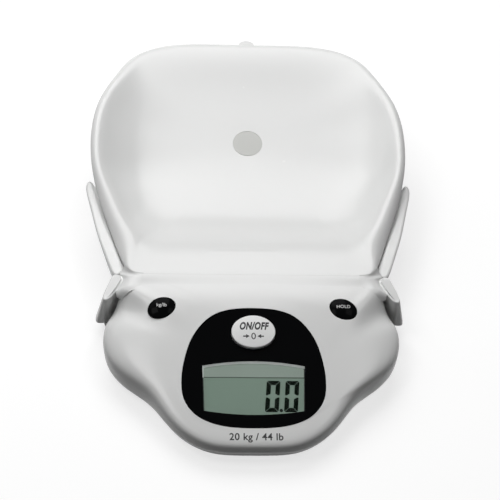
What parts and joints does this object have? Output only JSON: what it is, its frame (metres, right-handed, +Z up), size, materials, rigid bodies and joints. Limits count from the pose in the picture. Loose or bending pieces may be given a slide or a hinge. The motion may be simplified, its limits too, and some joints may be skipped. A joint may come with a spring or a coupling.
{
  "type": "digital baby weighing scale",
  "caption": "Baby weighing scale: a dished white tray on one load cell behind a rounded console with a black display panel, an oval power key and two round side keys.",
  "frame": {"origin": "on the floor under the middle of the bounding box", "axes": "+Z up, +Y from the console towards the tray's back, +X to the right of a person who faces the display; the viewer stands at -Y"},
  "size_m": [0.3314, 0.4941, 0.0915],
  "materials": {
    "white_shell": "glossy moulded ABS",
    "black_gloss": "high gloss",
    "button_white": "satin gloss",
    "plug_grey": "satin",
    "lens_clear": "clear polished",
    "lcd_grey": "satin glass over reflector",
    "frame_black": "matt",
    "rubber_black": "matt",
    "cell_aluminium": "milled",
    "plate_aluminium": "die cast",
    "steel": "zinc plated",
    "board_green": "solder resist",
    "resin_black": "potting resin",
    "switch_black": "moulded",
    "battery_skin": "printed sleeve",
    "lead_grey": "cable sheath"
  },
  "bodies": {
    "base": {"bottom_housing": "white_shell", "deck_cover": "white_shell", "console_cover": "white_shell", "left_arm": "white_shell", "right_arm": "white_shell", "left_ear": "white_shell", "right_ear": "white_shell", "display_panel": "black_gloss", "lcd_window": "lens_clear", "lcd_glass": "lcd_grey", "lcd_frame": "frame_black", "rubber_feet": "rubber_black", "zebra_strips": "rubber_black", "load_cell": "cell_aluminium", "lower_spacer": "plate_aluminium", "load_cell_screws": "steel", "housing_screws": "steel", "board_screws": "steel", "battery_contacts": "steel", "main_board": "board_green", "signal_chip": "resin_black", "tact_switches": "switch_black", "batteries": "battery_skin", "load_cell_lead": "lead_grey", "battery_leads": "lead_grey"},
    "platform": {"tray": "white_shell", "tray_plug": "plug_grey", "tray_screw": "steel", "load_plate": "plate_aluminium", "upper_spacer": "plate_aluminium", "platform_screws": "steel"},
    "power_button": {"power_button": "button_white"},
    "left_button": {"left_button": "black_gloss"},
    "right_button": {"right_button": "black_gloss"},
    "battery_door": {"battery_door": "white_shell"}
  },
  "joints": [
    {"name": "tray_weigh", "type": "slide", "parent": "base", "child": "platform", "axis": [0, 0, -1], "range_m": [0, 0.0008], "stiffness_N_per_m": 30000, "springref_m": -0.0005, "deforming": ["load_cell"]},
    {"name": "power_press", "type": "slide", "parent": "base", "child": "power_button", "axis": [0, 0.2419, -0.9703], "range_m": [0, 0.001], "stiffness_N_per_m": 900, "springref_m": -0.0004},
    {"name": "left_press", "type": "slide", "parent": "base", "child": "left_button", "axis": [0, 0.2419, -0.9703], "range_m": [0, 0.001], "stiffness_N_per_m": 600, "springref_m": -0.0004},
    {"name": "right_press", "type": "slide", "parent": "base", "child": "right_button", "axis": [0, 0.2419, -0.9703], "range_m": [0, 0.001], "stiffness_N_per_m": 600, "springref_m": -0.0004},
    {"name": "battery_door_slide", "type": "slide", "parent": "base", "child": "battery_door", "axis": [0, -1, 0], "range_m": [0, 0.01]}
  ]
}
